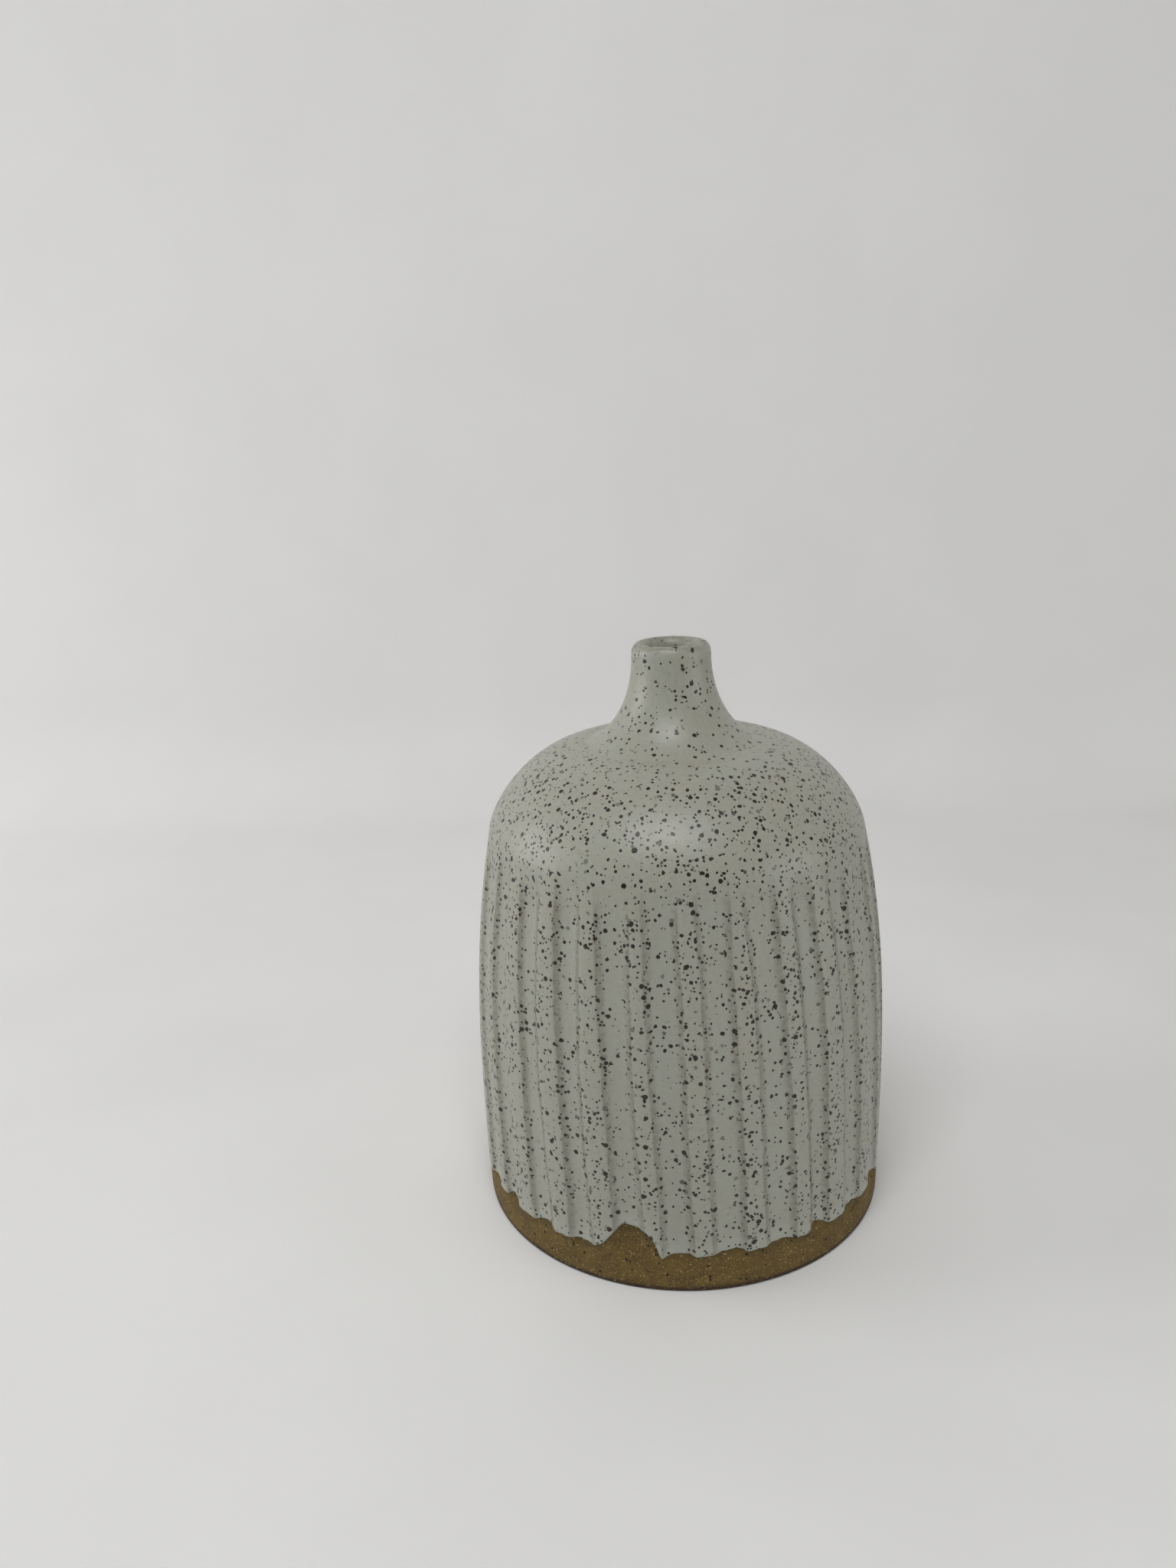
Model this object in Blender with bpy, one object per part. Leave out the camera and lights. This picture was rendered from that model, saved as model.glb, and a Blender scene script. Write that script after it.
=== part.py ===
"""Ceramic bud vase: a fluted stoneware body under an outer glaze and a liner glaze.

The vase stands on the origin with its axis on +Z. Dimensions are in millimetres up to the
point where a mesh is made, and metres from there on.
"""

import functools
import math

import bmesh
import bpy

MM = 0.001

# Wall, from the bare foot up to the shoulder
BELLY_RADIUS = 50.7
BELLY_HEIGHT = 32.0
FOOT_DRAW_IN = 0.35
SHOULDER_DRAW_IN = 5.6
SHOULDER_DRAW_POWER = 2.35
SHOULDER_HEIGHT = 95.0

# Shoulder, neck and lip
SHOULDER_HANDLE = 6.7
NECK_ROOT = (21.1, 115.1)
NECK_ROOT_SLOPE = 0.03
NECK_ROOT_HANDLES = (13.4, 3.2)
NECK_RADIUS = 9.25
NECK_HANDLE = 14.5
LIP_BASE = 136.0
LIP_RISE = 2.5
MOUTH_RADIUS = 5.55

# Hollow inside
CAVITY_RADIUS = 45.2
CAVITY_WALL_TOP = 58.0
CAVITY_SHOULDER = (42.2, 88.0)
CAVITY_SHOULDER_HANDLES = (15.0, 14.0)
CAVITY_CROWN = (18.0, 110.4)
CAVITY_CROWN_HANDLE = 8.0
THROAT_HEIGHT = 121.0
THROAT_HANDLE = 7.0
FLOOR_HEIGHT = 7.6
FLOOR_CORNER = 9.0

# Foot
BEVEL = 0.9
BARE_BAND = 7.2
FOOT_RING_WIDTH = 9.0
FOOT_RECESS = 1.8
FOOT_RECESS_CORNER = 2.4

# Glaze coats, and the clearance between each coat and the clay
COAT = 0.5
CLEARANCE = 0.3
COAT_JOINT = 131.0
LINER_COLUMNS = 27

# The outer coat's lower edge: its mean height, where its waves die out, and its bare notch
GLAZE_EDGE = 9.5
GLAZE_EDGE_FADE = 24.0
SCALLOPS = ((3, 0.5, 0.8), (13, 0.45, 0.0))
NOTCH_ANGLE = 252.8
NOTCH_HALF_WIDTH = 6.0
NOTCH_RISE = 6.2

# Flutes: each takes three columns, one for its land and two for its groove
FLUTES = 27
COLUMNS = 3 * FLUTES
FLUTE_DEPTH = 0.95
CLAY_FLUTE_FOOT = (8.0, 12.0)
GLAZE_FLUTE_FOOT = (8.0, 16.0)
FLUTE_TOP = (86.0, 95.0)
FLUTE_LEAN = math.radians(0.05)
OUTER_SKIN = 2.0
WALL_ROWS = (24.0, 48.0, 68.0, 86.0, 90.5)


def wall_radius(height):
    """Radius of the finished wall, which swells to the belly and draws in to the shoulder."""
    above = max(0.0, height - BELLY_HEIGHT) / (SHOULDER_HEIGHT - BELLY_HEIGHT)
    below = max(0.0, BELLY_HEIGHT - height) / BELLY_HEIGHT
    return BELLY_RADIUS - SHOULDER_DRAW_IN * above**SHOULDER_DRAW_POWER - FOOT_DRAW_IN * below**2


def wall_slope():
    """Unit direction of the wall where it meets the shoulder."""
    span = SHOULDER_HEIGHT - BELLY_HEIGHT
    draw = -SHOULDER_DRAW_IN * SHOULDER_DRAW_POWER / span
    length = math.hypot(draw, 1.0)
    return draw / length, 1.0 / length


def bezier(start, first_handle, second_handle, end, steps):
    """Points along a cubic curve, without its start."""
    points = []
    for step in range(1, steps + 1):
        t = step / steps
        weights = ((1 - t) ** 3, 3 * t * (1 - t) ** 2, 3 * t * t * (1 - t), t**3)
        corners = (start, first_handle, second_handle, end)
        radius = sum(w * corner[0] for w, corner in zip(weights, corners))
        height = sum(w * corner[1] for w, corner in zip(weights, corners))
        points.append((radius, height))
    return points


def shoulder_and_neck():
    """Finished outer face above the wall: a convex shoulder, then a concave sweep up the neck."""
    start = (wall_radius(SHOULDER_HEIGHT), SHOULDER_HEIGHT)
    out_r, out_z = wall_slope()
    to_shoulder, to_neck = NECK_ROOT_HANDLES
    root_r, root_z = NECK_ROOT
    shoulder = bezier(
        start,
        (start[0] + SHOULDER_HANDLE * out_r, start[1] + SHOULDER_HANDLE * out_z),
        (root_r + to_shoulder, root_z - to_shoulder * NECK_ROOT_SLOPE),
        NECK_ROOT,
        5,
    )
    neck = bezier(
        NECK_ROOT,
        (root_r - to_neck, root_z + to_neck * NECK_ROOT_SLOPE),
        (NECK_RADIUS, LIP_BASE - NECK_HANDLE),
        (NECK_RADIUS, LIP_BASE),
        4,
    )
    return [start] + shoulder + neck


def lip():
    """Finished lip: half an ellipse from the neck's outer face over to the mouth."""
    centre = (NECK_RADIUS + MOUTH_RADIUS) / 2
    half_width = (NECK_RADIUS - MOUTH_RADIUS) / 2
    angles = (math.pi * step / 4 for step in range(1, 5))
    return [(centre + half_width * math.cos(a), LIP_BASE + LIP_RISE * math.sin(a)) for a in angles]


def cavity():
    """Finished face of the hollow, from below the coats' joint down to the middle of the floor."""
    shoulder_r, shoulder_z = CAVITY_SHOULDER
    crown_r, crown_z = CAVITY_CROWN
    corner_r = CAVITY_RADIUS - FLOOR_CORNER
    corner_z = FLOOR_HEIGHT + FLOOR_CORNER
    to_shoulder, to_wall = CAVITY_SHOULDER_HANDLES
    throat = (MOUTH_RADIUS, THROAT_HEIGHT)
    crown = bezier(
        throat,
        (MOUTH_RADIUS, THROAT_HEIGHT - THROAT_HANDLE),
        (crown_r - CAVITY_CROWN_HANDLE, crown_z),
        CAVITY_CROWN,
        3,
    )
    shoulder = bezier(
        CAVITY_CROWN,
        (crown_r + to_shoulder, crown_z),
        (shoulder_r, shoulder_z + to_wall),
        CAVITY_SHOULDER,
        3,
    )
    wall = [(CAVITY_RADIUS, CAVITY_WALL_TOP), (CAVITY_RADIUS, corner_z)]
    angles = (math.pi / 4 * step for step in range(1, 3))
    floor = [
        (corner_r + FLOOR_CORNER * math.cos(a), corner_z - FLOOR_CORNER * math.sin(a))
        for a in angles
    ]
    return [throat] + crown + shoulder + wall + floor + [(0.0, FLOOR_HEIGHT)]


def sunk(points, depth):
    """The outline moved into the clay by depth, square to itself. It runs up the outer side."""
    moved = []
    for index, (radius, height) in enumerate(points):
        before = points[max(index - 1, 0)]
        after = points[min(index + 1, len(points) - 1)]
        run, rise = after[0] - before[0], after[1] - before[1]
        length = math.hypot(run, rise)
        moved.append((radius - depth * rise / length, height + depth * run / length))
    return moved


def foot():
    """Bare clay from the middle of the underside out to the top of the bare band."""
    foot_radius = wall_radius(0.0)
    ring_outer = foot_radius - BEVEL
    ring_inner = ring_outer - FOOT_RING_WIDTH
    return [
        (0.0, FOOT_RECESS),
        (ring_inner - FOOT_RECESS_CORNER, FOOT_RECESS),
        (ring_inner, 0.0),
        (ring_outer, 0.0),
        (foot_radius, BEVEL),
        (wall_radius(BARE_BAND), BARE_BAND),
    ]


def flute_depth(height, angle, foot_span):
    """How far the wall is carved in: full depth along the middle of each groove."""
    rising = (height - foot_span[0]) / (foot_span[1] - foot_span[0])
    falling = (FLUTE_TOP[1] - height) / (FLUTE_TOP[1] - FLUTE_TOP[0])
    reach = max(0.0, min(1.0, rising, falling))
    column = round(angle / (2 * math.pi) * COLUMNS)
    return FLUTE_DEPTH * reach if column % 3 == 0 else 0.0


def edge_rise(angle):
    """Height of the glaze's lower edge above its mean: slow scallops and one bare notch."""
    scallops = sum(rise * math.sin(count * angle + phase) for count, rise, phase in SCALLOPS)
    from_notch = (math.degrees(angle) - NOTCH_ANGLE) / NOTCH_HALF_WIDTH
    return scallops + NOTCH_RISE * math.exp(-(from_notch**4))


def carve(foot_span, vertex):
    """Carve a point of the outer wall, and turn it with its flute's lean."""
    radius = math.hypot(vertex.co.x, vertex.co.y) / MM
    height = vertex.co.z / MM
    if height > SHOULDER_HEIGHT or radius < wall_radius(height) - OUTER_SKIN:
        return
    angle = math.atan2(vertex.co.y, vertex.co.x) % (2 * math.pi)
    radius -= flute_depth(height, angle, foot_span)
    angle += FLUTE_LEAN * (SHOULDER_HEIGHT - height)
    vertex.co.x = radius * math.cos(angle) * MM
    vertex.co.y = radius * math.sin(angle) * MM


def lift_edge(vertex):
    """Lift the glaze's lower edge to its ragged line, fading out up the wall."""
    height = vertex.co.z / MM
    if height > GLAZE_EDGE_FADE:
        return
    angle = math.atan2(vertex.co.y, vertex.co.x) % (2 * math.pi)
    share = (GLAZE_EDGE_FADE - height) / (GLAZE_EDGE_FADE - GLAZE_EDGE)
    vertex.co.z = (height + edge_rise(angle) * share) * MM


def material(name, colour, roughness):
    """A plain Principled material."""
    made = bpy.data.materials.new(name)
    made.use_nodes = True
    shader = made.node_tree.nodes["Principled BSDF"]
    shader.inputs["Base Color"].default_value = (*colour, 1.0)
    shader.inputs["Roughness"].default_value = roughness
    shader.inputs["Metallic"].default_value = 0.0
    return made


def turned(name, outline, closed, columns, look, reshape=()):
    """Spin an outline about the axis into a named solid, then reshape its points."""
    body = bmesh.new()
    rim = [body.verts.new((radius * MM, 0.0, height * MM)) for radius, height in outline]
    pairs = list(zip(rim, rim[1:]))
    if closed:
        pairs.append((rim[-1], rim[0]))
    edges = [body.edges.new(pair) for pair in pairs]
    bmesh.ops.spin(
        body,
        geom=rim + edges,
        cent=(0, 0, 0),
        axis=(0, 0, 1),
        angle=2 * math.pi,
        steps=columns,
        use_merge=True,
    )
    bmesh.ops.remove_doubles(body, verts=body.verts, dist=0.01 * MM)
    for change in reshape:
        for vertex in body.verts:
            change(vertex)
    bmesh.ops.recalc_face_normals(body, faces=body.faces)
    mesh = bpy.data.meshes.new(name)
    body.to_mesh(mesh)
    body.free()
    mesh.materials.append(look)
    mesh.shade_smooth()
    mesh.set_sharp_from_angle(angle=math.radians(30))
    solid = bpy.data.objects.new(name, mesh)
    bpy.context.scene.collection.objects.link(solid)


def main():
    """Build the three sub-parts in place of whatever the scene holds."""
    for old in list(bpy.data.objects):
        bpy.data.objects.remove(old)

    wall = [(wall_radius(height), height) for height in WALL_ROWS]
    clay_start = [(wall_radius(height), height) for height in CLAY_FLUTE_FOOT]
    coat_start = [(wall_radius(height), height) for height in (GLAZE_EDGE, GLAZE_FLUTE_FOOT[1])]
    upper = wall + shoulder_and_neck() + lip() + [(MOUTH_RADIUS, COAT_JOINT)]
    hollow = [(MOUTH_RADIUS, COAT_JOINT - CLEARANCE)] + cavity()

    clay_face = sunk(clay_start + upper + hollow[1:], COAT + CLEARANCE)
    turned(
        "stoneware_body",
        foot() + clay_face,
        closed=False,
        columns=COLUMNS,
        look=material("stoneware_clay", (0.235, 0.150, 0.070), 0.85),
        reshape=(functools.partial(carve, CLAY_FLUTE_FOOT),),
    )

    coated = coat_start + upper
    turned(
        "outer_glaze",
        coated + sunk(coated, COAT)[::-1],
        closed=True,
        columns=COLUMNS,
        look=material("matte_white_glaze", (0.56, 0.55, 0.50), 0.5),
        reshape=(lift_edge, functools.partial(carve, GLAZE_FLUTE_FOOT)),
    )

    turned(
        "liner_glaze",
        hollow[::-1] + sunk(hollow, COAT),
        closed=False,
        columns=LINER_COLUMNS,
        look=material("white_liner_glaze", (0.60, 0.59, 0.55), 0.35),
    )


main()
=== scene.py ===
"""Looks of the ceramic bud vase: fluted clay, speckled outer glaze, liner glaze and a plain studio.

Shapes are worked out in millimetres, as in the CAD model, and scaled to its packed size.
Angles are in degrees round the vase from its front (-Y), positive towards +X.
"""

import math

import bmesh
import bpy
import numpy as np
from mathutils import Matrix, Vector


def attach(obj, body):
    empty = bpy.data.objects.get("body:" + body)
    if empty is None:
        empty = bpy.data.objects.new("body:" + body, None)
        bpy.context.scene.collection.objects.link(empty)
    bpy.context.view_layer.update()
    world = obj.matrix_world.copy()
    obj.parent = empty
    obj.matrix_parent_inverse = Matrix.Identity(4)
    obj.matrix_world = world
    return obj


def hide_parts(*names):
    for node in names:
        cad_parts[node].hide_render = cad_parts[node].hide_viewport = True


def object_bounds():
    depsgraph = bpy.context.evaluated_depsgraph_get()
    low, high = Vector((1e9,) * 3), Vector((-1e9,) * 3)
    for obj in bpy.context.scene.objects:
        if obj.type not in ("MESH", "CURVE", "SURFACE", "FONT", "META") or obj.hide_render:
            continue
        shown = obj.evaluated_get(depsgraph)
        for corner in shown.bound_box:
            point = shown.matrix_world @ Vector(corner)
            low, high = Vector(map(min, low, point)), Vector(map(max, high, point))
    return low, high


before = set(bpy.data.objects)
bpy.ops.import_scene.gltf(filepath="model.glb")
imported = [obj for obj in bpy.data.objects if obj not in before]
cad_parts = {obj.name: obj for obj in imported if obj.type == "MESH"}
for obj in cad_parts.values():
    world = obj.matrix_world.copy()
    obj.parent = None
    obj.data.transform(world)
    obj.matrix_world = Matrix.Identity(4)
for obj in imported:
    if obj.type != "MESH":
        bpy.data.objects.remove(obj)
cad_low, cad_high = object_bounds()

# Outline of the finished surface, in mm
BELLY_RADIUS = 50.7
BELLY_HEIGHT = 32.0
FOOT_DRAW_IN = 0.35
SHOULDER_DRAW_IN = 5.6
SHOULDER_DRAW_POWER = 2.35
SHOULDER_HEIGHT = 95.0
SHOULDER_HANDLE = 6.7
NECK_ROOT = np.array((21.1, 115.1))
NECK_ROOT_DIRECTION = np.array((-1.0, 0.03))
NECK_ROOT_HANDLES = (13.4, 3.2)
NECK_RADIUS = 9.25
NECK_HANDLE = 14.5
LIP_BASE = 136.0
LIP_RISE = 2.5
MOUTH_RADIUS = 5.55
COAT_JOINT = 131.0
THROAT_HEIGHT = 121.0
THROAT_HANDLE = 7.0
CAVITY_CROWN = np.array((18.0, 110.4))
CAVITY_CROWN_HANDLE = 8.0
CAVITY_SHOULDER = np.array((42.2, 88.0))
CAVITY_SHOULDER_HANDLES = (15.0, 14.0)
CAVITY_RADIUS = 45.2
CAVITY_WALL_TOP = 58.0
FLOOR_HEIGHT = 7.6
FLOOR_CORNER = 9.0
FLOOR_RING_SHARES = (0.6, 0.25, 0.0)
BEVEL = 0.9
FOOT_RING_INNER = 40.45
FOOT_RECESS = 1.8
RECESS_RADIUS = 36.5
RECESS_HANDLES = ((38.6, FOOT_RECESS), (39.4, 0.6))
HEIGHT = LIP_BASE + LIP_RISE

# Trimming rings under the foot: their rise in mm, and how fast they follow each other
TRIM_RISE = 0.05
TRIM_TURNS = 1.15

# Coats: how far each hidden face lies under the finished surface, in mm
COAT = 0.55
CLAY_DEPTH = 0.4
BARE_CLAY_DEPTH = 0.32

# The outer coat's rounded lower edge as (rise, inset), its end in the mouth as (outwards, up) from the
# joint, lapped behind the liner, and the liner's top as (outwards, up)
EDGE_ROUND = 0.3
EDGE_ROLL = ((0.12, CLAY_DEPTH + 0.1), (-0.02, BARE_CLAY_DEPTH - 0.03), (0.06, 0.13), (EDGE_ROUND, 0.02))
MOUTH_LAP = ((0.0, 0.2), (0.05, -0.1), (0.3, -0.3))
LINER_TOP = ((0.07, 0.0), (0.0, -0.6), (0.0, -4.0))

# Handmade unevenness of the wall: size in mm, waves as (turns round the vase, climb, start), and fades
UNEVEN = 0.07
UNEVEN_WAVES = ((2, 0.03, 0.4), (3, -0.05, 2.1), (5, 0.08, 4.0), (1, 0.06, 5.2))
UNEVEN_FOOT_FADE = 20.0
UNEVEN_TOP = 104.0
UNEVEN_TOP_FADE = 12.0
# How deep under the wall a ring still counts as the outer skin
SKIN = 3.0

# Flutes, and how much each of their measures varies
FLUTES = 27
PERIOD = 360.0 / FLUTES
FLUTE_START = 8.9
FLUTE_HALF_WIDTH = 3.45
FLUTE_DEPTH = 1.2
FLUTE_LEAN = 0.042
FLUTE_TOP = 96.5
FLUTE_TOP_FADE = 10.0
FLUTE_FOOT = 4.0
FLUTE_FOOT_FADE = 8.0
START_SPREAD = 0.55
WIDTH_SPREAD = 0.4
DEPTH_SPREAD = 0.15
LEAN_SPREAD = 0.012
TOP_SPREAD = 1.3
ARCH_RISE = 0.35
ARCH_SPREAD = 1.3
ARCH_SKEW = 0.9
ARCH_POWER = 2.5

# A groove's edges wander as (size, climb, phase), it is softened where it meets the land, and its floor
# is part flat, with walls this wide, and part scooped
WIDTH_WAVES = ((0.22, 0.075, 1.0), (0.09, 0.33, 3.0))
EDGE_SOFTNESS = 0.65
EDGE_TRIM = 0.07
GROOVE_WALL = 1.9
SCOOPED = 0.5

# Lower edge of the outer glaze: its mean height, the height from which the rings are level again, its
# slow waves as (rise, turns, start), its ripples, and the bare notch as (angle, rise), with no arches near
GLAZE_EDGE = 9.0
EDGE_FADE = 26.0
EDGE_WAVES = ((0.35, 2, 1.1), (0.22, 5, 0.4))
RIPPLE_RISE = 0.075
RIPPLE_TURNS = (53, 83, 131, 199, 307)
NOTCH = (
    (-24, 0), (-20.5, 1.9), (-18.2, 4.8), (-15.8, 7.2), (-12.5, 6.7),
    (-9.2, 6.0), (-7.1, 3.4), (-5.7, -0.6), (-2.5, 0),
)
NOTCH_MIDDLE = -14.0
NOTCH_REACH = 11.7
NOTCH_REACH_FADE = 9.0

# Heights where the rings' spacing changes, and of rings that aren't evenly spaced
FINE_FROM = 84.0
COAT_BACK_RINGS = (45, 62, 74, FINE_FROM, 90, SHOULDER_HEIGHT)
CLAY_BAND_TOP = 19.0
CLAY_RINGS = (24, 34, 46, 60, 72, 80, 86, 91, SHOULDER_HEIGHT)
MOUTH_RINGS = (135.2, 133.8, 132.4)

# How finely each stretch of an outline is divided: rings count the stretch's start and steps don't, and
# groups of three are for the shoulder, the neck and the lip
COAT_EDGE_RINGS = 15
COAT_WALL_RINGS = 24
COAT_FINE_RINGS = 13
COAT_TOP_STEPS = (28, 18, 14)
COAT_BACK_STEPS = (6, 6, 6)
TRIM_RINGS = 34
RECESS_STEPS = 6
FOOT_RING_RINGS = 4
BEVEL_RINGS = 6
CLAY_BAND_RINGS = 30
CLAY_TOP_STEPS = (9, 8, 6)
CLAY_CAVITY_STEPS = 5
LINER_CAVITY_STEPS = 12
SWEEP_RINGS = 13

# Values of the marks where there is no groove or glaze edge near
NO_GROOVE = -9.0
NO_EDGE = 99.0

# How far inside the CAD box the belly stays, and how near the axis a point counts as on it, in metres
BOX_MARGIN = 0.00002
POLE_REACH = 1e-6

# Colours, as linear light
GLAZE_WARM = (0.384, 0.376, 0.312)
GLAZE_COOL = (0.372, 0.380, 0.324)
GLAZE_DULL = (0.276, 0.270, 0.216)
GLAZE_POOL = (0.44, 0.452, 0.400)
# Brown of thin, broken glaze and of dust grains, also used as painted shade down the grooves' walls and
# along their edges
GLAZE_BREAK_AND_SHADE = (0.118, 0.108, 0.074)
SPECK_DARK = (0.005, 0.0035, 0.002)
SPECK_BROWN = (0.028, 0.017, 0.008)
CLAY_LIGHT = (0.157, 0.100, 0.024)
CLAY_DARK = (0.100, 0.065, 0.015)
CLAY_SAND = (0.31, 0.205, 0.065)
CLAY_SHADE = (0.05, 0.031, 0.009)
# Clay darker just under the glaze's lower edge
CLAY_BELOW_GLAZE = (0.06, 0.043, 0.011)
# Painted shade of the foot's bevel against the floor, with a toasted brown edge
CLAY_FOOT_SHADE_AND_TOAST = (0.035, 0.017, 0.009)
CLAY_GRAIN = (0.46, 0.34, 0.15)
FLOOR_PALE = (0.87, 0.866, 0.856)
FLOOR_DULL = (0.85, 0.846, 0.836)

# Heights over which the glaze breaks on the lip, and over which the specks thin out up the neck
LIP_BREAK = (136.6, 138.4)
NECK_THINNING = (111.0, 116.0)

# Speck layers of the glaze, in mm: cell spacing, grain radius, spread of the radius, and a shift of place
SPECK_LAYERS = ((2.15, 0.46, 0.32, 0.0), (1.4, 0.355, 0.22, 40.0), (1.15, 0.24, 0.12, 90.0))

# Camera, stage and lights, in metres
CAMERA_PLACE = Vector((0.0, -0.27095, 0.18547))
CAMERA_YAW = -0.075756
CAMERA_PITCH = 0.289677
CAMERA_ROLL = -0.041998
CAMERA_LENS = 27.06
SENSOR_WIDTH = 36.0
AIM = Vector((0.0, 0.0, 0.07))
WALL_Y = 0.33
WALL_TOP = 1.0
SWEEP = 0.05
FLOOR_FRONT = -0.75
FLOOR_MIDDLE = -0.3
STAGE_HALF_WIDTH = 0.65
SOFTBOXES = (
    ("front_overhead", (-0.06, -0.43, 0.78), (0.5, 0.26), 3.0),
    ("left_panel", (-0.85, 0.0, 0.30), (0.5, 0.4), 2.3),
    ("right_panel", (0.85, -0.30, 0.20), (0.5, 0.3), 1.1),
)
WORLD_LEVEL = 0.19
WORLD_SLOPE = (-0.02, 0.09, 0.09)
WORLD_TINT = (1.0, 0.995, 0.985)
WORLD_SEEN = (0.58, 0.58, 0.57)

# Points round each ring
COLUMNS = 24 * FLUTES
LINER_COLUMNS = 120

random = np.random.default_rng(27)


def smooth(value):
    """0 below 0, 1 above 1, and an S-curve between."""
    held = np.clip(value, 0.0, 1.0)
    return held * held * (3.0 - 2.0 * held)


def bezier(start, first, second, end, steps):
    """Points along a cubic curve, without its start."""
    t = np.linspace(0.0, 1.0, steps + 1)[1:, None]
    start, first, second, end = (np.asarray(p, float) for p in (start, first, second, end))
    from_ends = (1 - t) ** 3 * start + t**3 * end
    return from_ends + 3 * t * (1 - t) ** 2 * first + 3 * t * t * (1 - t) * second


def wall_radius(height):
    """Radius of the finished wall, which swells to the belly and draws in to the shoulder."""
    above = np.maximum(0.0, height - BELLY_HEIGHT) / (SHOULDER_HEIGHT - BELLY_HEIGHT)
    below = np.maximum(0.0, BELLY_HEIGHT - height) / BELLY_HEIGHT
    return BELLY_RADIUS - SHOULDER_DRAW_IN * above**SHOULDER_DRAW_POWER - FOOT_DRAW_IN * below**2


def wall(heights):
    """Outline points of the wall at these heights."""
    heights = np.asarray(heights, float)
    return np.stack([wall_radius(heights), heights], axis=1)


def shoulder_to_mouth(shoulder_steps, neck_steps, lip_steps):
    """Outline from above the wall over the shoulder, up the neck and over the lip."""
    start = wall([SHOULDER_HEIGHT])[0]
    span = SHOULDER_HEIGHT - BELLY_HEIGHT
    leaving = np.array((-SHOULDER_DRAW_IN * SHOULDER_DRAW_POWER / span, 1.0))
    leaving /= np.linalg.norm(leaving)
    to_shoulder, to_neck = NECK_ROOT_HANDLES
    shoulder = bezier(
        start,
        start + SHOULDER_HANDLE * leaving,
        NECK_ROOT - to_shoulder * NECK_ROOT_DIRECTION,
        NECK_ROOT,
        shoulder_steps,
    )
    neck = bezier(
        NECK_ROOT,
        NECK_ROOT + to_neck * NECK_ROOT_DIRECTION,
        (NECK_RADIUS, LIP_BASE - NECK_HANDLE),
        (NECK_RADIUS, LIP_BASE),
        neck_steps,
    )
    turn = np.linspace(0.0, math.pi, lip_steps + 1)[1:]
    centre = (NECK_RADIUS + MOUTH_RADIUS) / 2
    half_width = (NECK_RADIUS - MOUTH_RADIUS) / 2
    lip = np.stack([centre + half_width * np.cos(turn), LIP_BASE + LIP_RISE * np.sin(turn)], axis=1)
    return np.vstack([shoulder, neck, lip])


def cavity(steps):
    """Outline of the hollow, from the throat down to the middle of the floor."""
    throat = np.array((MOUTH_RADIUS, THROAT_HEIGHT))
    outward, upward = CAVITY_SHOULDER_HANDLES
    crown = bezier(
        throat,
        throat - (0.0, THROAT_HANDLE),
        CAVITY_CROWN - (CAVITY_CROWN_HANDLE, 0.0),
        CAVITY_CROWN,
        steps,
    )
    shoulder = bezier(
        CAVITY_CROWN,
        CAVITY_CROWN + (outward, 0.0),
        CAVITY_SHOULDER + (0.0, upward),
        CAVITY_SHOULDER,
        steps,
    )
    corner = np.array((CAVITY_RADIUS - FLOOR_CORNER, FLOOR_HEIGHT + FLOOR_CORNER))
    sides = [(CAVITY_RADIUS, CAVITY_WALL_TOP), (CAVITY_RADIUS, corner[1])]
    turn = np.linspace(0.0, math.pi / 2, steps + 1)[1:]
    floor = corner + FLOOR_CORNER * np.stack([np.cos(turn), -np.sin(turn)], axis=1)
    middle = [(corner[0] * share, FLOOR_HEIGHT) for share in FLOOR_RING_SHARES]
    return np.vstack([[throat], crown, shoulder, sides, floor, middle])


def sunk(points, depth):
    """The outline moved into the clay by depth, square to itself."""
    along = np.gradient(points, axis=0)
    along /= np.linalg.norm(along, axis=1, keepdims=True)
    return points + depth * np.stack([-along[:, 1], along[:, 0]], axis=1)


def drift(angle, height):
    """Slow handmade unevenness round and up the vase, in mm, as a sum of a few waves."""
    total = 0.0
    for turns, climb, start in UNEVEN_WAVES:
        total = total + np.sin(turns * np.radians(angle) + climb * height + start)
    return UNEVEN * (1.0 + total / len(UNEVEN_WAVES))


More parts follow.
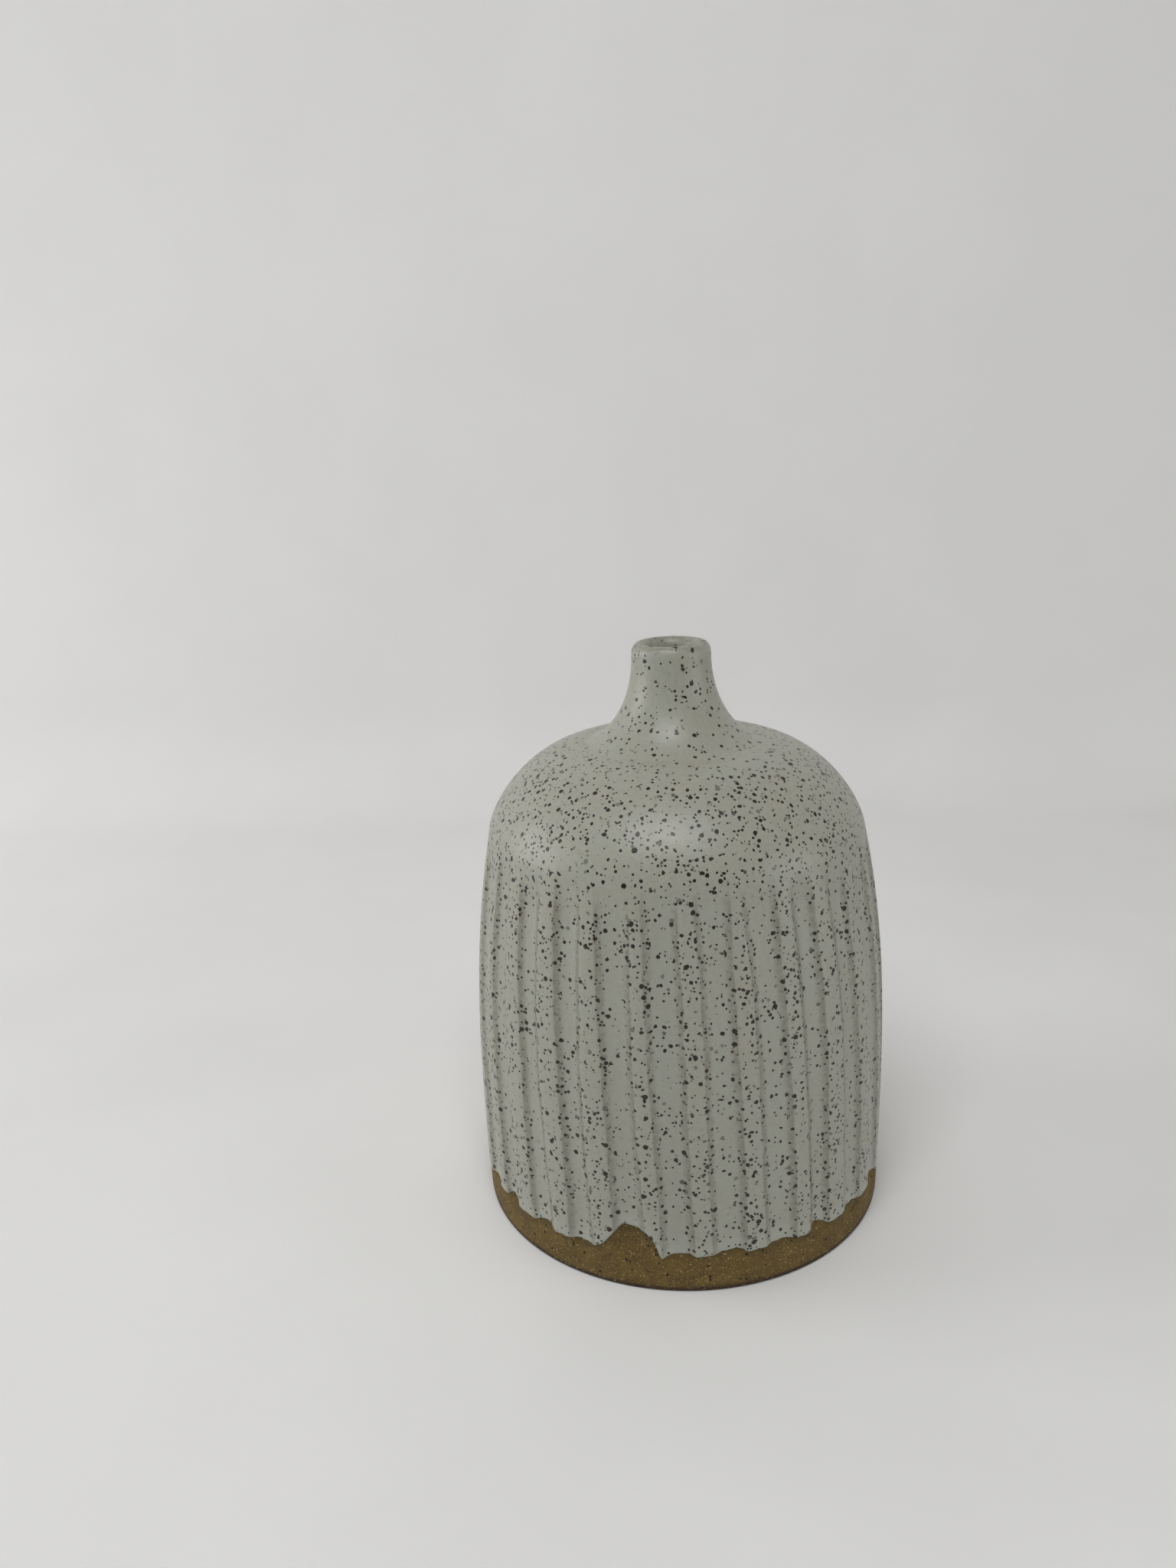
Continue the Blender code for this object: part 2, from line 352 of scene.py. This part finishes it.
class Flutes:
    """The carved grooves: each has its own place, width, depth, lean and top."""

    def __init__(self):
        place, width, depth, lean, top, wave, arch, skew = random.uniform(-1.0, 1.0, (8, FLUTES))
        self.start = FLUTE_START + PERIOD * np.arange(FLUTES) + START_SPREAD * place
        self.half_width = FLUTE_HALF_WIDTH + WIDTH_SPREAD * width
        self.depth = FLUTE_DEPTH * (1 + DEPTH_SPREAD * depth)
        self.lean = FLUTE_LEAN + LEAN_SPREAD * lean
        self.top = FLUTE_TOP + TOP_SPREAD * top
        self.wave = math.pi * wave
        self.arch = ARCH_RISE + ARCH_SPREAD * arch**2
        self.skew = ARCH_SKEW * skew

    def across(self, index, angle, height):
        """Distance in mm from the middle of a groove, and its half width there."""
        middle = self.start[index] + self.lean[index] * (SHOULDER_HEIGHT - height)
        from_middle = (angle - middle + 180.0) % 360.0 - 180.0
        half = self.half_width[index]
        for size, climb, phase in WIDTH_WAVES:
            half = half + size * np.sin(climb * height + phase * self.wave[index])
        return np.radians(from_middle) * wall_radius(np.minimum(height, SHOULDER_HEIGHT)), half

    def field(self, angle, height):
        """Depth carved, signed distance inside the nearest groove's edge, and how far it is carved there.

        The last is 1 along a groove and fades to 0 above its top and below its foot.
        """
        shape = np.broadcast(angle, height).shape
        inside = np.full(shape, NO_GROOVE)
        depth = np.zeros(shape)
        share = np.zeros(shape)
        for index in range(FLUTES):
            off, half = self.across(index, angle, height)
            reach = smooth((self.top[index] - height) / FLUTE_TOP_FADE)
            reach = reach * smooth((height - FLUTE_FOOT) / FLUTE_FOOT_FADE)
            edge = half - np.abs(off)
            soft = 0.5 * (edge + np.sqrt(edge**2 + EDGE_SOFTNESS**2)) - EDGE_TRIM
            flat = 1 - (1 - np.clip(soft / GROOVE_WALL, 0, 1)) ** 2
            scoop = 1 - (1 - np.clip(soft / half, 0, 1)) ** 2
            cut = self.depth[index] * reach * ((1 - SCOOPED) * flat + SCOOPED * scoop)
            nearer = edge > inside
            inside = np.where(nearer, edge, inside)
            depth = np.where(nearer, np.maximum(cut, 0.0), depth)
            share = np.where(nearer, reach, share)
        return depth, inside, share

    def glaze_edge(self, angle):
        """Height of the outer glaze's lower edge: arches over the grooves, and one bare notch."""
        turn = np.radians(angle)
        edge = np.full(angle.shape, GLAZE_EDGE)
        for rise, turns, start in EDGE_WAVES:
            edge += rise * np.sin(turns * turn + start)
        near_notch = smooth((NOTCH_REACH - np.abs(angle - NOTCH_MIDDLE)) / NOTCH_REACH_FADE)
        for index in range(FLUTES):
            off, half = self.across(index, angle, GLAZE_EDGE)
            across = np.clip(off / half, -1, 1)
            arch = (1 - np.abs(across) ** ARCH_POWER) * (1 + self.skew[index] * across)
            edge += self.arch[index] * arch * (1 - near_notch)
        notch_angles, notch_rises = zip(*NOTCH)
        edge += np.interp(angle, notch_angles, notch_rises)
        for turns in RIPPLE_TURNS:
            rise = RIPPLE_RISE * (RIPPLE_TURNS[0] / turns) ** 0.5
            edge += rise * np.sin(turns * turn + random.uniform(0, 2 * math.pi))
        return edge


def ring_points(radius, height, angle):
    """World positions in metres of points given by radius, height and angle."""
    nearest_side = min(-cad_low.x, cad_high.x, -cad_low.y, cad_high.y)
    across = (nearest_side - BOX_MARGIN) / BELLY_RADIUS
    up = (cad_high.z - cad_low.z) / HEIGHT
    turn = np.radians(angle)
    x = radius * np.sin(turn) * across
    y = -radius * np.cos(turn) * across
    return np.stack([x, y, np.broadcast_to(height, x.shape) * up], axis=-1)


def lathe_mesh(name, radius, height, angle, marks, joined):
    """A closed mesh from rings of points; rings of radius 0 become poles.

    joined closes the last ring to the first, for a hollow coat. marks are named point values.
    """
    rows, columns = radius.shape
    index = np.arange(rows * columns).reshape(rows, columns)
    following = np.roll(index, -1, axis=1)
    above = np.roll(index, -1, axis=0)
    above_following = np.roll(following, -1, axis=0)
    quads = np.stack([index, following, above_following, above], axis=-1)
    quads = quads if joined else quads[:-1]
    points = ring_points(radius, height, angle)
    mesh = bpy.data.meshes.new(name)
    mesh.from_pydata(points.reshape(-1, 3).tolist(), [], quads.reshape(-1, 4).tolist())
    for key, mark in marks.items():
        layer = mesh.attributes.new(key, "FLOAT", "POINT")
        layer.data.foreach_set("value", np.broadcast_to(mark, radius.shape).ravel().astype(np.float32))
    work = bmesh.new()
    work.from_mesh(mesh)
    poles = [vertex for vertex in work.verts if math.hypot(vertex.co.x, vertex.co.y) < POLE_REACH]
    bmesh.ops.remove_doubles(work, verts=poles, dist=POLE_REACH)
    bmesh.ops.recalc_face_normals(work, faces=work.faces)
    work.to_mesh(mesh)
    work.free()
    mesh.shade_smooth()
    return mesh


def add_piece(mesh, look, node):
    """Put a finished mesh in the scene as the piece that stands for a CAD node."""
    mesh.materials.append(look)
    piece = bpy.data.objects.new(mesh.name, mesh)
    bpy.context.scene.collection.objects.link(piece)
    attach(piece, "root")
    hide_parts(node)


def worked(radius, height, angle, flutes):
    """The rings with the wall's flutes and unevenness cut in, and the carving's two marks."""
    depth, inside, share = flutes.field(angle, height)
    skin = radius > wall_radius(np.minimum(height, SHOULDER_HEIGHT)) - SKIN
    fade = smooth(height / UNEVEN_FOOT_FADE) * smooth((UNEVEN_TOP - height) / UNEVEN_TOP_FADE)
    return radius - skin * (depth + drift(angle, height) * fade), inside, share * skin


def make_outer_glaze(flutes, edge, angle, look):
    """The outer coat: ragged lower edge, fluted wall, shoulder, neck, lip and first of the mouth."""
    start = edge + EDGE_ROUND
    heights = start + (EDGE_FADE - start) * np.linspace(0.0, 1.0, COAT_EDGE_RINGS)[1:, None]
    edge_heights = [edge + rise for rise, _ in EDGE_ROLL]
    edge_radii = [wall_radius(edge + rise) - inset for rise, inset in EDGE_ROLL]
    straight = wall(np.linspace(EDGE_FADE, FINE_FROM, COAT_WALL_RINGS)[1:])
    tops = wall(np.linspace(FINE_FROM, SHOULDER_HEIGHT, COAT_FINE_RINGS)[1:])
    mouth = [(MOUTH_RADIUS, height) for height in MOUTH_RINGS]
    mouth += [(MOUTH_RADIUS + outwards, COAT_JOINT + up) for outwards, up in MOUTH_LAP]
    front = np.vstack([straight, tops, shoulder_to_mouth(*COAT_TOP_STEPS), mouth])
    back_top = shoulder_to_mouth(*COAT_BACK_STEPS)
    covered = [wall(COAT_BACK_RINGS), back_top, [(MOUTH_RADIUS, COAT_JOINT)]]
    low_back = (wall_radius(EDGE_FADE) - COAT, EDGE_FADE)
    back = np.vstack([sunk(np.vstack(covered), COAT)[::-1], [low_back]])
    flat = np.ones_like(angle)
    radius = np.vstack(edge_radii + [wall_radius(heights), front[:, :1] * flat, back[:, :1] * flat])
    height = np.vstack(edge_heights + [heights, front[:, 1:] * flat, back[:, 1:] * flat])
    radius, inside, carved = worked(radius, height, angle, flutes)
    marks = {"inside_mm": inside, "carved": carved, "above_edge_mm": height - edge}
    mesh = lathe_mesh("speckled_outer_glaze", radius, height, angle, marks, joined=True)
    add_piece(mesh, look, "outer_glaze")


def make_clay(flutes, edge, angle, look):
    """The clay body: trimmed foot, bare band, the fluted wall under the outer coat and the hollow."""
    foot_radius = wall_radius(0.0) - BARE_CLAY_DEPTH
    trimmed = np.linspace(0.0, RECESS_RADIUS, TRIM_RINGS)
    recess = np.stack([trimmed, FOOT_RECESS + TRIM_RISE * np.cos(TRIM_TURNS * trimmed)], axis=1)
    recess_edge = (RECESS_RADIUS, FOOT_RECESS)
    step = bezier(recess_edge, *RECESS_HANDLES, (FOOT_RING_INNER, 0.0), RECESS_STEPS)
    ring = [(r, 0.0) for r in np.linspace(FOOT_RING_INNER, foot_radius - BEVEL, FOOT_RING_RINGS)[1:]]
    turn = np.linspace(0.0, math.pi / 2, BEVEL_RINGS)[1:]
    bevel = np.stack([foot_radius - BEVEL * (1 - np.sin(turn)), BEVEL * (1 - np.cos(turn))], axis=1)
    band = wall(np.linspace(BEVEL, CLAY_BAND_TOP, CLAY_BAND_RINGS)[1:]) - (BARE_CLAY_DEPTH, 0.0)
    hollow = cavity(CLAY_CAVITY_STEPS)
    hidden = sunk(np.vstack([wall(CLAY_RINGS), shoulder_to_mouth(*CLAY_TOP_STEPS), hollow]), CLAY_DEPTH)
    outline = np.vstack([recess, step, ring, bevel, band, hidden])
    outline[-1, 0] = 0.0
    flat = np.ones_like(angle)
    height = outline[:, 1:] * flat
    radius, _, _ = worked(outline[:, :1] * flat, height, angle, flutes)
    marks = {"below_edge_mm": edge - height}
    mesh = lathe_mesh("stoneware_clay_body", radius, height, angle, marks, joined=False)
    add_piece(mesh, look, "stoneware_body")


def make_liner(look):
    """The liner coat: a thin cup from just inside the mouth down round the floor."""
    angle = np.linspace(-180.0, 180.0, LINER_COLUMNS, endpoint=False)[None, :]
    top = [(MOUTH_RADIUS + outwards, COAT_JOINT + up) for outwards, up in LINER_TOP]
    face = np.vstack([top, cavity(LINER_CAVITY_STEPS)])
    outline = np.vstack([sunk(face, COAT)[::-1], face])
    outline[[0, -1], 0] = 0.0
    flat = np.ones_like(angle)
    radius = outline[:, :1] * flat
    height = outline[:, 1:] * flat
    marks = {"inside_mm": NO_GROOVE, "carved": 0.0, "above_edge_mm": NO_EDGE}
    mesh = lathe_mesh("poured_liner_glaze", radius, height, angle, marks, joined=False)
    add_piece(mesh, look, "liner_glaze")


class Look:
    """A node material, built up by small steps. Lengths in it are in mm."""

    def __init__(self, name):
        self.material = bpy.data.materials.new(name)
        self.material.use_nodes = True
        self.tree = self.material.node_tree
        self.shader = self.tree.nodes["Principled BSDF"]
        coordinates = self.tree.nodes.new("ShaderNodeTexCoord")
        self.place = self.vector("SCALE", coordinates.outputs["Object"], scale=1000.0)

    def connect(self, value, socket):
        """Set a socket to a number or colour, or link it to another node's output."""
        if isinstance(value, bpy.types.NodeSocket):
            self.tree.links.new(value, socket)
        elif isinstance(value, tuple) and len(value) == 3 and socket.type == "RGBA":
            socket.default_value = (*value, 1.0)
        else:
            socket.default_value = value

    def vector(self, operation, first, second=None, scale=None):
        """The result of one step of vector arithmetic."""
        node = self.tree.nodes.new("ShaderNodeVectorMath")
        node.operation = operation
        self.connect(first, node.inputs[0])
        if second is not None:
            self.connect(second, node.inputs[1])
        if scale is not None:
            self.connect(scale, node.inputs["Scale"])
        return node.outputs[0]

    def math(self, operation, *values):
        """The result of one step of arithmetic."""
        node = self.tree.nodes.new("ShaderNodeMath")
        node.operation = operation
        for value, socket in zip(values, node.inputs):
            self.connect(value, socket)
        return node.outputs[0]

    def times(self, first, *others):
        """The product of values."""
        for other in others:
            first = self.math("MULTIPLY", first, other)
        return first

    def step(self, value, low, high, at_low=0.0, at_high=1.0):
        """A soft step of value from low to high."""
        node = self.tree.nodes.new("ShaderNodeMapRange")
        node.interpolation_type = "SMOOTHSTEP"
        for item, socket in zip((value, low, high, at_low, at_high), node.inputs):
            self.connect(item, socket)
        return node.outputs[0]

    def mix(self, share, first, second):
        """Colour that goes from first to second as share goes from 0 to 1."""
        node = self.tree.nodes.new("ShaderNodeMix")
        node.data_type = "RGBA"
        self.connect(share, node.inputs["Factor"])
        self.connect(first, node.inputs[6])
        self.connect(second, node.inputs[7])
        return node.outputs[2]

    def noise(self, place, size, detail=2.0, roughness=0.5, colour=False):
        """Noise with features about size mm across, from 0 to 1 with its middle at 0.5."""
        node = self.tree.nodes.new("ShaderNodeTexNoise")
        self.connect(place, node.inputs["Vector"])
        node.inputs["Scale"].default_value = 1.0 / size
        node.inputs["Detail"].default_value = detail
        node.inputs["Roughness"].default_value = roughness
        return node.outputs["Color" if colour else "Fac"]

    def height(self):
        """Height above the foot."""
        node = self.tree.nodes.new("ShaderNodeSeparateXYZ")
        self.connect(self.place, node.inputs[0])
        return node.outputs[2]

    def mark(self, name):
        """A value that the mesh carries at its points."""
        node = self.tree.nodes.new("ShaderNodeAttribute")
        node.attribute_name = name
        return node.outputs["Fac"]

    def warped(self, size, amount):
        """The place, pushed about by amount mm in swirls of this size."""
        push = self.vector("SUBTRACT", self.noise(self.place, size, colour=True), (0.5, 0.5, 0.5))
        return self.vector("ADD", self.place, self.vector("SCALE", push, scale=2.0 * amount))

    def specks(self, place, spacing, radius, spread, kept, soft):
        """Round grains in a cell pattern: 1 on a grain and 0 off it, and a random tone for each grain.

        kept is the share of cells that have a grain, and soft is half the width of a grain's edge.
        """
        node = self.tree.nodes.new("ShaderNodeTexVoronoi")
        self.connect(place, node.inputs["Vector"])
        node.inputs["Scale"].default_value = 1.0 / spacing
        parts = self.tree.nodes.new("ShaderNodeSeparateColor")
        self.connect(node.outputs["Color"], parts.inputs[0])
        chance, girth, tone = parts.outputs
        present = self.math("LESS_THAN", chance, kept)
        reach = self.math("MULTIPLY_ADD", girth, spread, radius - spread / 2)
        distance = self.math("MULTIPLY", node.outputs["Distance"], spacing)
        edge = self.math("SUBTRACT", distance, self.times(reach, present))
        return self.times(self.step(edge, soft, -soft), present), tone

    def bump(self, height, strength, distance):
        """Relief in the shading. A height of one stands this distance in mm out of the surface."""
        node = self.tree.nodes.new("ShaderNodeBump")
        node.inputs["Strength"].default_value = strength
        node.inputs["Distance"].default_value = distance * 0.001
        self.connect(height, node.inputs["Height"])
        self.connect(node.outputs["Normal"], self.shader.inputs["Normal"])

    def finish(self, colour, roughness):
        """The material, once its colour and roughness are set."""
        self.connect(colour, self.shader.inputs["Base Color"])
        self.connect(roughness, self.shader.inputs["Roughness"])
        return self.material


def glaze_colour(look, mottle, groove):
    """Off-white, warm or cool in clouds, cooler in the grooves, and dusted with fine brown grains."""
    cloud = look.noise(look.place, size=7.0, detail=3.0)
    dust = look.step(look.noise(look.place, size=0.4, detail=3.0, roughness=0.65), 0.56, 0.72)
    colour = look.mix(look.step(cloud, 0.3, 0.7), GLAZE_WARM, GLAZE_COOL)
    colour = look.mix(look.times(groove, 0.7), colour, GLAZE_COOL)
    colour = look.mix(look.step(mottle, 0.35, 0.75, at_high=0.3), colour, GLAZE_DULL)
    dusting = look.times(dust, look.math("MULTIPLY_ADD", groove, -0.2, 0.34))
    return look.mix(dusting, colour, GLAZE_BREAK_AND_SHADE)


def glaze_break_and_groove_shade(look, colour, mottle, inside, carved):
    """The colour, thinner and browner along the grooves' edges, down their walls and on the lip; along the
    grooves' edges and walls this brown is also painted shade of the walls and creases.
    """
    wander = look.math("ADD", inside, look.math("MULTIPLY_ADD", mottle, 0.5, -0.25))
    patches = look.step(look.noise(look.place, size=4.0), 0.25, 0.6)
    # A thin dark line along each groove's edge: glaze break and painted crease shade
    edge_break_and_shade = look.times(look.step(look.math("ABSOLUTE", wander), 0.42, 0.0), carved, patches)
    # A band down each groove's wall: glaze break and painted shade of the wall
    wall_break_and_shade = look.times(look.step(inside, -0.5, 0.4), look.step(inside, 1.9, 0.4), carved)
    lip = look.times(look.step(look.height(), *LIP_BREAK), look.step(mottle, 0.3, 0.7, at_low=0.4))
    band_strength = look.step(mottle, 0.35, 0.65, at_low=0.24, at_high=0.46)
    colour = look.mix(look.times(wall_break_and_shade, band_strength), colour, GLAZE_BREAK_AND_SHADE)
    colour = look.mix(look.times(edge_break_and_shade, 0.3), colour, GLAZE_BREAK_AND_SHADE)
    return look.mix(look.times(lip, 0.35), colour, GLAZE_BREAK_AND_SHADE)


def share_of_specks(look, inside, carved):
    """Share of cells with a speck: fewer in the grooves and up the neck, more and fewer in clusters."""
    bare = look.times(look.step(inside, 0.9, 2.0), carved, 0.36)
    neck = look.step(look.height(), *NECK_THINNING, at_high=0.4)
    cluster = look.step(look.noise(look.place, size=9.0, detail=1.0), 0.3, 0.7, at_low=-0.2, at_high=0.2)
    kept = look.math("SUBTRACT", look.math("SUBTRACT", 0.76, bare), neck)
    return look.math("ADD", kept, cluster)


def glaze_look(name):
    """Satin off-white glaze with iron specks, pooled paler at its lower edge, broken over the grooves and
    darkened down their walls and edges with painted shade.
    """
    look = Look(name)
    inside = look.mark("inside_mm")
    carved = look.mark("carved")
    mottle = look.noise(look.place, size=1.1, detail=3.0, roughness=0.6)
    groove = look.times(look.step(inside, -0.4, 2.6), carved)
    colour = glaze_colour(look, mottle, groove)
    pool = look.step(look.mark("above_edge_mm"), 5.0, 0.5, at_high=0.45)
    colour = look.mix(pool, colour, GLAZE_POOL)
    colour = glaze_break_and_groove_shade(look, colour, mottle, inside, carved)

    kept = share_of_specks(look, inside, carved)
    bent = look.warped(size=0.85, amount=0.32)
    relief = 0.0
    for spacing, radius, spread, shift in SPECK_LAYERS:
        place = look.vector("ADD", bent, (shift, 2.0 * shift, 3.0 * shift))
        grain, tone = look.specks(place, spacing, radius, spread, kept, soft=0.015)
        strength = look.step(tone, 0.1, 0.25, at_low=0.5)
        colour = look.mix(look.times(grain, strength), colour, look.mix(tone, SPECK_DARK, SPECK_BROWN))
        relief = look.math("SUBTRACT", relief, look.times(grain, 0.3))

    look.bump(look.math("ADD", look.times(mottle, 0.35), relief), strength=0.5, distance=0.1)
    gloss = look.math("MULTIPLY_ADD", look.noise(look.place, size=2.5, detail=3.0), 0.2, 0.29)
    return look.finish(colour, gloss)


def clay_look():
    """Bare sandy stoneware with light and iron grains, darker just under the glaze, and darker round the
    bevel with painted shade from the floor and a toasted edge.
    """
    look = Look("bare_stoneware")
    cloud = look.noise(look.place, size=5.0, detail=3.0, roughness=0.6)
    grit = look.noise(look.place, size=0.45, detail=4.0, roughness=0.65)
    colour = look.mix(look.step(cloud, 0.3, 0.7), CLAY_DARK, CLAY_LIGHT)
    colour = look.mix(look.step(grit, 0.45, 0.75, at_high=0.6), colour, CLAY_SAND)
    colour = look.mix(look.step(grit, 0.48, 0.28, at_high=0.6), colour, CLAY_SHADE)
    below = look.math("ADD", look.mark("below_edge_mm"), look.times(cloud, 2.0))
    # Darker clay just under the glaze's edge, fading downwards
    colour = look.mix(look.step(below, 3.6, 0.6, at_high=0.5), colour, CLAY_BELOW_GLAZE)
    # Painted shade round the foot's bevel, with a toasted brown edge
    colour = look.mix(look.step(look.height(), 1.9, 0.8, at_high=0.9), colour, CLAY_FOOT_SHADE_AND_TOAST)

    bent = look.warped(size=0.7, amount=0.15)
    grains, tone = look.specks(bent, spacing=0.62, radius=0.15, spread=0.12, kept=0.75, soft=0.04)
    colour = look.mix(look.times(grains, look.step(tone, 0.0, 1.0, 0.2, 0.8)), colour, CLAY_GRAIN)
    iron_place = look.vector("ADD", bent, (31.0, 17.0, 5.0))
    iron, _ = look.specks(iron_place, spacing=1.7, radius=0.3, spread=0.2, kept=0.75, soft=0.05)
    colour = look.mix(look.times(iron, 0.85), colour, SPECK_DARK)
    look.bump(look.math("ADD", grit, look.times(grains, 0.25)), strength=0.7, distance=0.22)
    return look.finish(colour, look.step(grit, 0.3, 0.7, at_low=0.8, at_high=0.95))


def plaster_look():
    """Matt plaster, very slightly uneven in tone."""
    look = Look("matt_plaster")
    tone = look.noise(look.place, size=60.0)
    fine = look.noise(look.place, size=0.8, detail=3.0)
    shade = look.mix(look.step(tone, 0.3, 0.7), FLOOR_DULL, FLOOR_PALE)
    look.bump(fine, strength=0.15, distance=0.1)
    return look.finish(shade, look.step(fine, 0.3, 0.7, at_low=0.75, at_high=0.9))


def add_camera():
    """The camera, above and in front of the vase and turned a little to its left."""
    forward = Vector(
        (
            math.sin(CAMERA_YAW) * math.cos(CAMERA_PITCH),
            math.cos(CAMERA_YAW) * math.cos(CAMERA_PITCH),
            -math.sin(CAMERA_PITCH),
        )
    )
    level = Vector((math.cos(CAMERA_YAW), -math.sin(CAMERA_YAW), 0.0))
    upright = level.cross(forward)
    right = math.cos(CAMERA_ROLL) * level + math.sin(CAMERA_ROLL) * upright
    up = math.cos(CAMERA_ROLL) * upright - math.sin(CAMERA_ROLL) * level
    data = bpy.data.cameras.new("camera")
    data.sensor_width = SENSOR_WIDTH
    data.lens = CAMERA_LENS
    camera = bpy.data.objects.new("camera", data)
    turned = Matrix((right, up, -forward)).transposed().to_4x4()
    camera.matrix_world = Matrix.Translation(CAMERA_PLACE) @ turned
    bpy.context.scene.collection.objects.link(camera)
    bpy.context.scene.camera = camera


def add_stage():
    """A matt floor that sweeps up into a backdrop behind the vase."""
    turn = np.linspace(0.0, math.pi / 2, SWEEP_RINGS)
    sweep = [(WALL_Y - SWEEP + SWEEP * math.sin(t), SWEEP * (1 - math.cos(t))) for t in turn]
    profile = [(FLOOR_FRONT, 0.0), (FLOOR_MIDDLE, 0.0)] + sweep + [(WALL_Y, WALL_TOP)]
    points = [(x, y, z) for x in (-STAGE_HALF_WIDTH, STAGE_HALF_WIDTH) for y, z in profile]
    count = len(profile)
    faces = [(i, i + count, i + count + 1, i + 1) for i in range(count - 1)]
    mesh = bpy.data.meshes.new("backdrop")
    mesh.from_pydata(points, [], faces)
    mesh.shade_smooth()
    mesh.materials.append(plaster_look())
    backdrop = bpy.data.objects.new("backdrop", mesh)
    bpy.context.scene.collection.objects.link(backdrop)


def add_softbox(name, place, size, power):
    """A rectangular area light facing the vase, which the camera doesn't see."""
    data = bpy.data.lights.new(name, "AREA")
    data.shape = "RECTANGLE"
    data.size, data.size_y = size
    data.energy = power
    light = bpy.data.objects.new(name, data)
    light.location = place
    light.rotation_euler = (AIM - Vector(place)).to_track_quat("-Z", "Y").to_euler()
    light.visible_camera = False
    bpy.context.scene.collection.objects.link(light)


def add_world():
    """Soft room light, brighter behind the vase and above; seen past the backdrop, it is plain pale grey."""
    world = bpy.data.worlds.new("studio")
    world.use_nodes = True
    tree = world.node_tree
    direction = tree.nodes.new("ShaderNodeTexCoord").outputs["Generated"]
    slope = tree.nodes.new("ShaderNodeVectorMath")
    slope.operation = "DOT_PRODUCT"
    slope.inputs[1].default_value = WORLD_SLOPE
    tree.links.new(direction, slope.inputs[0])
    level = tree.nodes.new("ShaderNodeMath")
    level.operation = "ADD"
    level.inputs[1].default_value = WORLD_LEVEL
    tree.links.new(slope.outputs["Value"], level.inputs[0])
    background = tree.nodes["Background"]
    background.inputs["Color"].default_value = (*WORLD_TINT, 1.0)
    tree.links.new(level.outputs[0], background.inputs["Strength"])
    seen = tree.nodes.new("ShaderNodeBackground")
    seen.inputs["Color"].default_value = (*WORLD_SEEN, 1.0)
    path = tree.nodes.new("ShaderNodeLightPath")
    either = tree.nodes.new("ShaderNodeMixShader")
    tree.links.new(path.outputs["Is Camera Ray"], either.inputs["Fac"])
    tree.links.new(background.outputs[0], either.inputs[1])
    tree.links.new(seen.outputs[0], either.inputs[2])
    tree.links.new(either.outputs[0], tree.nodes["World Output"].inputs["Surface"])
    bpy.context.scene.world = world


bpy.context.scene.view_settings.view_transform = "Standard"
angles = np.linspace(-180.0, 180.0, COLUMNS, endpoint=False)[None, :]
flutes = Flutes()
glaze_edge = flutes.glaze_edge(angles)
make_clay(flutes, glaze_edge, angles, clay_look())
make_outer_glaze(flutes, glaze_edge, angles, glaze_look("speckled_satin_glaze"))
make_liner(glaze_look("speckled_liner_glaze"))
add_stage()
for softbox in SOFTBOXES:
    add_softbox(*softbox)
add_world()
add_camera()
